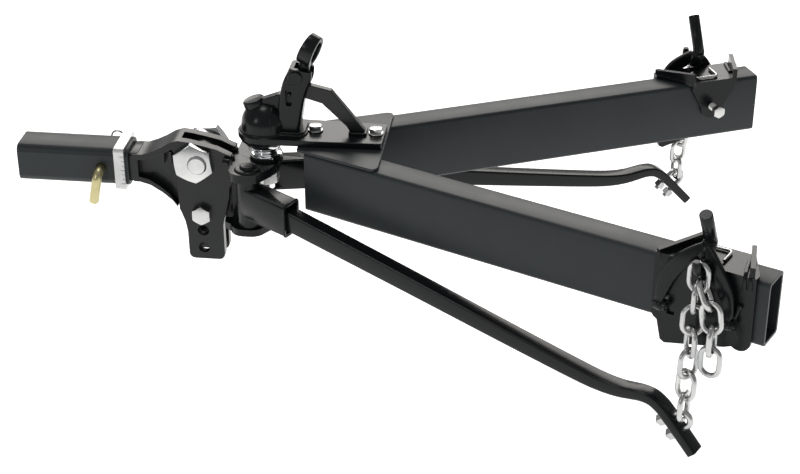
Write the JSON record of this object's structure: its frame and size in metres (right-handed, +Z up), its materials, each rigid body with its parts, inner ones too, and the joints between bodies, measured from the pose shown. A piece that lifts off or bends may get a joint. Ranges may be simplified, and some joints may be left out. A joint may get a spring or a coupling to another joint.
{
  "type": "weight distribution hitch",
  "caption": "Ball mount on a square receiver tube with an A-frame coupler and spring bars held up by chains on snap-up brackets.",
  "frame": {"origin": "centre of the receiver tube open end", "axes": "+X from the tow vehicle to the trailer, +Y to the far rail, +Z up"},
  "size_m": [1.201, 0.8262, 0.4588],
  "materials": {
    "charcoal_paint": "satin dark grey paint",
    "gloss_black": "gloss black powder coat",
    "bright_zinc": "bright zinc plate",
    "yellow_zinc": "pale yellow zinc plate",
    "bright_collar": "smooth bright metal",
    "ball_chrome": "polished chrome"
  },
  "bodies": {
    "hitch_head": {"receiver_tube": "charcoal_paint", "receiver_collar": "bright_collar", "shank_casting": "gloss_black", "head_casting": "gloss_black", "tilt_cam_near": "bright_zinc", "tilt_cam_far": "bright_zinc", "pivot_bolt": "bright_zinc", "pivot_nut": "bright_zinc", "drop_bolt": "bright_zinc", "drop_bolt_nut": "bright_zinc", "hitch_ball": "ball_chrome", "ball_washer": "bright_zinc", "ball_nut": "bright_zinc", "trunnion_pin_near": "gloss_black", "trunnion_pin_far": "gloss_black"},
    "pin": {"hitch_pin": "yellow_zinc"},
    "pin_clip_body": {"pin_clip": "bright_zinc"},
    "trailer_frame": {"gusset_plate": "charcoal_paint", "coupler_casting": "gloss_black", "coupler_bolt_front": "bright_zinc", "coupler_bolt_rear": "bright_zinc", "rail_near": "charcoal_paint", "rail_far": "charcoal_paint", "saddle_near": "gloss_black", "saddle_far": "gloss_black", "set_bolt_near": "bright_zinc", "set_bolt_far": "bright_zinc"},
    "latch": {"coupler_latch": "gloss_black"},
    "socket_near": {"bar_socket_near": "gloss_black"},
    "bar_near": {"spring_bar_near": "gloss_black", "u_bolt_near": "bright_zinc"},
    "yoke_near_body": {"yoke_near": "gloss_black"},
    "hooked_link_near": {"chain_near_1": "bright_zinc"},
    "chain_run_near": {"chain_near_2": "bright_zinc", "chain_near_3": "bright_zinc", "chain_near_4": "bright_zinc", "chain_near_5": "bright_zinc", "chain_near_6": "bright_zinc", "chain_near_7": "bright_zinc"},
    "chain_tail_near_body": {"chain_tail_near_1": "bright_zinc", "chain_tail_near_2": "bright_zinc", "chain_tail_near_3": "bright_zinc", "chain_tail_near_4": "bright_zinc"},
    "safety_clip_near_body": {"safety_clip_near": "bright_zinc"},
    "socket_far": {"bar_socket_far": "gloss_black"},
    "bar_far": {"spring_bar_far": "gloss_black", "u_bolt_far": "bright_zinc"},
    "yoke_far_body": {"yoke_far": "gloss_black"},
    "hooked_link_far": {"chain_far_1": "bright_zinc"},
    "chain_run_far": {"chain_far_2": "bright_zinc", "chain_far_3": "bright_zinc", "chain_far_4": "bright_zinc", "chain_far_5": "bright_zinc", "chain_far_6": "bright_zinc", "chain_far_7": "bright_zinc"},
    "chain_tail_far_body": {"chain_tail_far_1": "bright_zinc", "chain_tail_far_2": "bright_zinc", "chain_tail_far_3": "bright_zinc", "chain_tail_far_4": "bright_zinc"},
    "safety_clip_far_body": {"safety_clip_far": "bright_zinc"}
  },
  "joints": [
    {"name": "coupler_yaw", "type": "hinge", "parent": "hitch_head", "child": "trailer_frame", "pos_m": [0.405, 0, 0.058], "axis": [0, 0, 1], "range_deg": [-20, 20]},
    {"name": "latch_lift", "type": "hinge", "parent": "trailer_frame", "child": "latch", "pos_m": [0.463, 0, 0.155], "axis": [0, 1, 0], "range_deg": [0, 25]},
    {"name": "pin_play", "type": "slide", "parent": "hitch_head", "child": "pin", "axis": [0, -1, 0], "range_m": [0, 0.008]},
    {"name": "pin_clip_pull", "type": "slide", "parent": "pin", "child": "pin_clip_body", "axis": [0, 0, 1], "range_m": [0, 0.06]},
    {"name": "socket_near_yaw", "type": "hinge", "parent": "hitch_head", "child": "socket_near", "pos_m": [0.384, -0.049, -0.0335], "axis": [0, 0, 1], "range_deg": [-21, 21]},
    {"name": "bar_near_pitch", "type": "hinge", "parent": "socket_near", "child": "bar_near", "pos_m": [0.43793, -0.0753, -0.041], "axis": [0.4384, 0.8988, 0], "range_deg": [-0.2, 1.5]},
    {"name": "yoke_near_swing", "type": "hinge", "parent": "trailer_frame", "child": "yoke_near_body", "pos_m": [1.08116, -0.35325, -0.015], "axis": [0.9063, -0.4226, 0], "range_deg": [0, 30]},
    {"name": "hooked_link_near_plumb", "type": "hinge", "parent": "yoke_near_body", "child": "hooked_link_near", "pos_m": [1.08337, -0.36509, 0.0743], "axis": [0.9063, -0.4226, 0], "range_deg": [-20, 0]},
    {"name": "chain_run_near_lean", "type": "hinge", "parent": "hooked_link_near", "child": "chain_run_near", "pos_m": [1.08101, -0.364, 0.0411], "axis": [0.4226, 0.9063, 0], "range_deg": [-5.5, 5.5]},
    {"name": "chain_tail_near_swing", "type": "hinge", "parent": "chain_run_near", "child": "chain_tail_near_body", "pos_m": [1.08662, -0.36509, 0.04977], "axis": [-0.4226, -0.9063, 0], "range_deg": [0, 8]},
    {"name": "safety_clip_near_pull", "type": "slide", "parent": "trailer_frame", "child": "safety_clip_near_body", "axis": [0, 0, 1], "range_m": [0, 0.025]},
    {"name": "socket_far_yaw", "type": "hinge", "parent": "hitch_head", "child": "socket_far", "pos_m": [0.384, 0.049, -0.0335], "axis": [0, 0, 1], "range_deg": [-21, 21]},
    {"name": "bar_far_pitch", "type": "hinge", "parent": "socket_far", "child": "bar_far", "pos_m": [0.43793, 0.0753, -0.041], "axis": [-0.4384, 0.8988, 0], "range_deg": [-0.2, 1.5]},
    {"name": "yoke_far_swing", "type": "hinge", "parent": "trailer_frame", "child": "yoke_far_body", "pos_m": [1.08116, 0.35325, -0.015], "axis": [-0.9063, -0.4226, 0], "range_deg": [0, 30]},
    {"name": "hooked_link_far_plumb", "type": "hinge", "parent": "yoke_far_body", "child": "hooked_link_far", "pos_m": [1.08337, 0.36509, 0.0743], "axis": [-0.9063, -0.4226, 0], "range_deg": [-20, 0]},
    {"name": "chain_run_far_lean", "type": "hinge", "parent": "hooked_link_far", "child": "chain_run_far", "pos_m": [1.08101, 0.364, 0.0411], "axis": [0.4226, -0.9063, 0], "range_deg": [-5.5, 5.5]},
    {"name": "chain_tail_far_swing", "type": "hinge", "parent": "chain_run_far", "child": "chain_tail_far_body", "pos_m": [1.08662, 0.36509, 0.04977], "axis": [0.4226, -0.9063, 0], "range_deg": [0, 8]},
    {"name": "safety_clip_far_pull", "type": "slide", "parent": "trailer_frame", "child": "safety_clip_far_body", "axis": [0, 0, 1], "range_m": [0, 0.025]}
  ],
  "couplings": [
    {"joint": "socket_near_yaw", "follows": "coupler_yaw", "ratio": 1},
    {"joint": "chain_run_near_lean", "follows": "coupler_yaw", "ratio": 0.253},
    {"joint": "bar_near_pitch", "follows": "yoke_near_swing", "ratio": 0.0351},
    {"joint": "hooked_link_near_plumb", "follows": "yoke_near_swing", "ratio": -0.628},
    {"joint": "socket_far_yaw", "follows": "coupler_yaw", "ratio": 1},
    {"joint": "chain_run_far_lean", "follows": "coupler_yaw", "ratio": 0.253},
    {"joint": "bar_far_pitch", "follows": "yoke_far_swing", "ratio": 0.0351},
    {"joint": "hooked_link_far_plumb", "follows": "yoke_far_swing", "ratio": -0.628}
  ]
}
